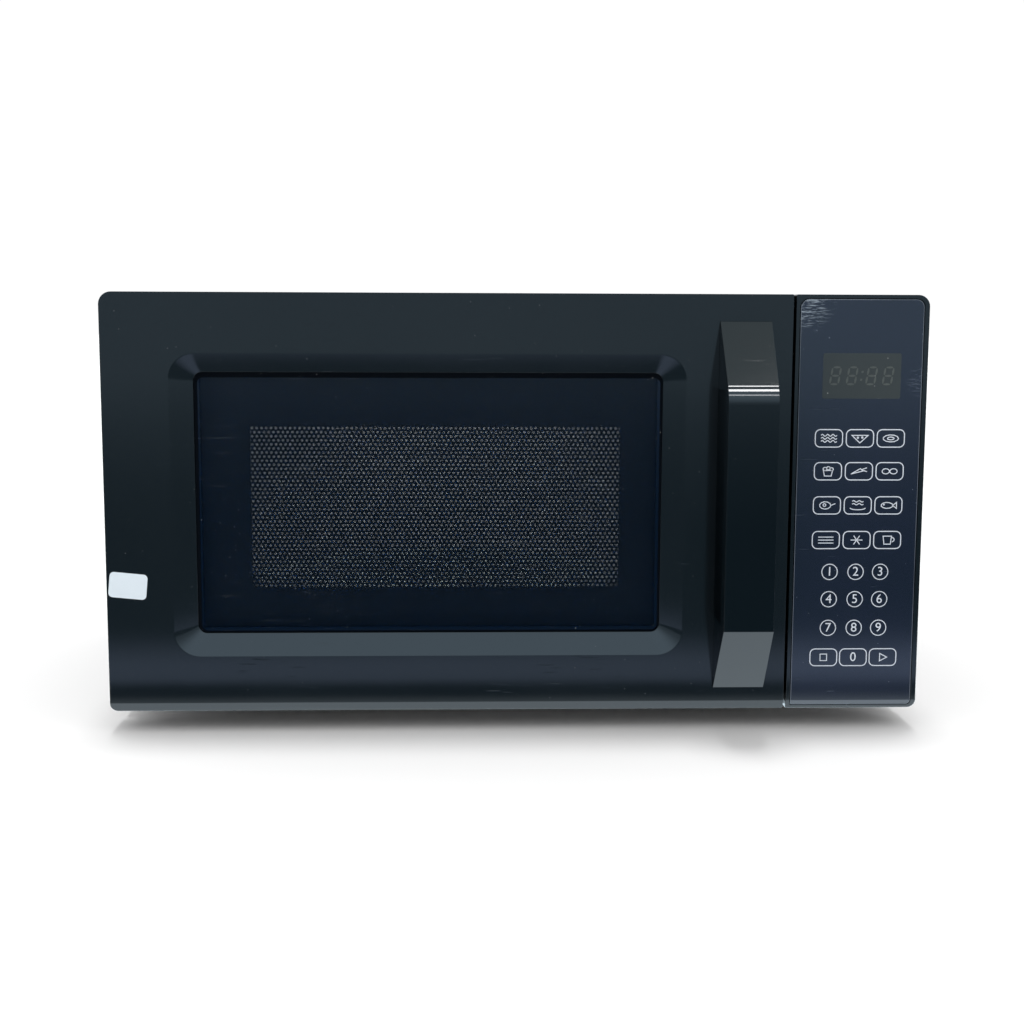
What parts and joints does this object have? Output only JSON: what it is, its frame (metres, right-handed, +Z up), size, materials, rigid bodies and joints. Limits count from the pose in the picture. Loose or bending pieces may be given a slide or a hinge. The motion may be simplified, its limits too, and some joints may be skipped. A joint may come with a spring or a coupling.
{
  "type": "microwave oven",
  "caption": "Countertop microwave oven with a side-hung windowed door, bow handle, turntable and membrane keypad.",
  "frame": {"origin": "on the table, under the middle of the whole oven's bounding box", "axes": "+X to the right along the front, -Y out of the front towards the user, +Z up"},
  "size_m": [0.46, 0.378, 0.248],
  "materials": {
    "gloss_black_plastic": "gloss",
    "black_painted_steel": "satin powder coat",
    "galvanised_steel": "satin",
    "grey_cavity_enamel": "satin enamel",
    "foot_rubber": "matte",
    "black_plastic": "matte",
    "smoked_window": "polished",
    "clear_film": "clear",
    "tray_glass": "polished",
    "screen_black_steel": "satin black",
    "choke_grey_plastic": "satin",
    "keypad_film": "satin film",
    "display_black": "gloss",
    "white_nylon": "satin",
    "zinc_steel": "zinc plated",
    "aluminium": "satin",
    "lacquered_copper": "lacquered",
    "core_steel": "lacquered laminations",
    "circuit_board": "solder resist",
    "mica": "matte"
  },
  "bodies": {
    "oven_body": {"outer_cabinet": "black_painted_steel", "rear_panel": "galvanised_steel", "base_plate": "galvanised_steel", "foot_front_left": "foot_rubber", "foot_front_right": "foot_rubber", "foot_rear_left": "foot_rubber", "foot_rear_right": "foot_rubber", "cord_gland": "black_plastic", "cavity_front_plate": "grey_cavity_enamel", "cavity_left_wall": "grey_cavity_enamel", "cavity_right_wall": "grey_cavity_enamel", "cavity_rear_wall": "grey_cavity_enamel", "cavity_ceiling": "grey_cavity_enamel", "cavity_floor": "grey_cavity_enamel", "waveguide": "galvanised_steel", "mica_cover": "mica", "turntable_motor": "zinc_steel", "hinge_plate_upper": "zinc_steel", "hinge_plate_lower": "zinc_steel", "interlock_bracket": "white_nylon", "primary_switch": "black_plastic", "secondary_switch": "black_plastic", "monitor_switch": "black_plastic", "control_panel_housing": "gloss_black_plastic", "keypad_overlay": "keypad_film", "display_module": "display_black", "control_board": "circuit_board", "magnetron": "aluminium", "thermal_cutout": "zinc_steel", "transformer_core": "core_steel", "primary_winding": "lacquered_copper", "secondary_winding": "lacquered_copper", "high_voltage_capacitor": "aluminium", "high_voltage_diode": "black_plastic", "noise_filter_board": "circuit_board", "fan_shroud": "black_plastic", "fan_motor": "zinc_steel", "lamp_bulb": "tray_glass", "lamp_holder": "black_plastic"},
    "door": {"door_frame": "gloss_black_plastic", "door_window": "smoked_window", "door_screen_panel": "screen_black_steel", "door_inner_window": "clear_film", "door_choke_cover": "choke_grey_plastic", "door_handle": "gloss_black_plastic", "handle_screw_lower": "zinc_steel", "handle_screw_upper": "zinc_steel", "latch_spring": "zinc_steel"},
    "latch": {"latch_hooks": "white_nylon"},
    "turntable_drive": {"turntable_shaft": "zinc_steel", "drive_coupler": "white_nylon"},
    "tray": {"glass_tray": "tray_glass"},
    "roller_carrier": {"roller_ring": "white_nylon"},
    "wheel_1": {"roller_wheel_1": "white_nylon"},
    "wheel_2": {"roller_wheel_2": "white_nylon"},
    "wheel_3": {"roller_wheel_3": "white_nylon"},
    "fan": {"fan_blade": "black_plastic"},
    "primary_plunger": {"primary_switch_plunger": "white_nylon"},
    "secondary_plunger": {"secondary_switch_plunger": "white_nylon"},
    "monitor_plunger": {"monitor_switch_plunger": "white_nylon"}
  },
  "joints": [
    {"name": "door_hinge", "type": "hinge", "parent": "oven_body", "child": "door", "pos_m": [-0.219, -0.134, 0.13], "axis": [0, 0, -1], "range_deg": [0, 100]},
    {"name": "latch_slide", "type": "slide", "parent": "door", "child": "latch", "axis": [0, 0, 1], "range_m": [0, 0.004], "stiffness_N_per_m": 400, "springref_m": -0.004, "deforming": ["latch_spring"]},
    {"name": "turntable_spin", "type": "hinge", "parent": "oven_body", "child": "turntable_drive", "pos_m": [-0.047, 0.026, 0.04], "axis": [0, 0, 1], "continuous": true},
    {"name": "tray_lift", "type": "slide", "parent": "turntable_drive", "child": "tray", "axis": [0, 0, 1], "range_m": [0, 0.02]},
    {"name": "roller_carrier_spin", "type": "hinge", "parent": "oven_body", "child": "roller_carrier", "pos_m": [-0.047, 0.026, 0.0423], "axis": [0, 0, 1], "continuous": true},
    {"name": "wheel_1_spin", "type": "hinge", "parent": "roller_carrier", "child": "wheel_1", "pos_m": [0.043, 0.026, 0.0423], "axis": [1, 0, 0], "continuous": true},
    {"name": "wheel_2_spin", "type": "hinge", "parent": "roller_carrier", "child": "wheel_2", "pos_m": [-0.092, 0.10394, 0.0423], "axis": [-0.5, 0.866, 0], "continuous": true},
    {"name": "wheel_3_spin", "type": "hinge", "parent": "roller_carrier", "child": "wheel_3", "pos_m": [-0.092, -0.05194, 0.0423], "axis": [-0.5, -0.866, 0], "continuous": true},
    {"name": "fan_spin", "type": "hinge", "parent": "oven_body", "child": "fan", "pos_m": [0.169, 0.16, 0.158], "axis": [0, 1, 0], "continuous": true},
    {"name": "primary_plunger_press", "type": "slide", "parent": "oven_body", "child": "primary_plunger", "axis": [0, 1, 0], "range_m": [0, 0.0012], "stiffness_N_per_m": 600},
    {"name": "secondary_plunger_press", "type": "slide", "parent": "oven_body", "child": "secondary_plunger", "axis": [0, 1, 0], "range_m": [0, 0.0012], "stiffness_N_per_m": 600},
    {"name": "monitor_plunger_press", "type": "slide", "parent": "oven_body", "child": "monitor_plunger", "axis": [0, 1, 0], "range_m": [0, 0.0012], "stiffness_N_per_m": 600}
  ],
  "couplings": [
    {"joint": "roller_carrier_spin", "follows": "turntable_spin", "ratio": 0.5},
    {"joint": "wheel_1_spin", "follows": "turntable_spin", "ratio": -6.4286},
    {"joint": "wheel_2_spin", "follows": "turntable_spin", "ratio": -6.4286},
    {"joint": "wheel_3_spin", "follows": "turntable_spin", "ratio": -6.4286}
  ]
}
